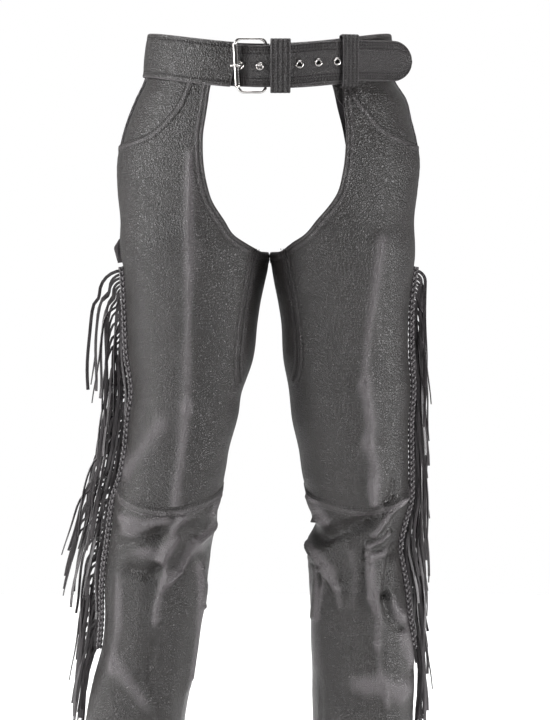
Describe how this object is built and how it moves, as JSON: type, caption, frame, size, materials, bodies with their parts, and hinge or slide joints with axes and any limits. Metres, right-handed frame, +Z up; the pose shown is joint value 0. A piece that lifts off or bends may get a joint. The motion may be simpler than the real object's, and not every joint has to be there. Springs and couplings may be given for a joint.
{
  "type": "leather chaps",
  "caption": "Full-length leather riding chaps in worn form, open at front and seat, with buckled belt, slanted pockets, plaited side trim and long fringe.",
  "frame": {"origin": "middle of the wearer's waist, level with the middle of the waistband at the sides", "axes": "+Z up along the wearer, front of the garment towards -Y, the wearer's right leg on -X"},
  "size_m": [0.5378, 0.2597, 1.0335],
  "materials": {
    "chap_leather": "semi-gloss pebbled grain, soft worn highlights",
    "fringe_leather": "smooth satin face, cut edges",
    "chrome": "polished plating"
  },
  "bodies": {
    "root": {"front_thigh_right": "chap_leather", "front_thigh_left": "chap_leather", "back_thigh_right": "chap_leather", "back_thigh_left": "chap_leather", "inner_thigh_panel_right": "chap_leather", "inner_thigh_panel_left": "chap_leather", "front_calf_right": "chap_leather", "front_calf_left": "chap_leather", "back_calf_right": "chap_leather", "back_calf_left": "chap_leather", "pocket_backing_right": "chap_leather", "pocket_backing_left": "chap_leather", "waistband_right": "chap_leather", "waistband_left": "chap_leather", "belt_strap": "chap_leather", "belt_keeper_1": "chap_leather", "belt_keeper_2": "chap_leather", "buckle_chape_upper": "chap_leather", "buckle_chape_lower": "chap_leather", "braid_trim_right": "fringe_leather", "braid_trim_left": "fringe_leather", "fringe_right": "fringe_leather", "fringe_left": "fringe_leather", "trim_tab_right": "fringe_leather", "buckle_frame": "chrome", "buckle_prong": "chrome", "eyelet_1": "chrome", "eyelet_2": "chrome", "eyelet_3": "chrome", "eyelet_4": "chrome", "eyelet_5": "chrome", "eyelet_6": "chrome", "eyelet_7": "chrome"}
  },
  "joints": []
}
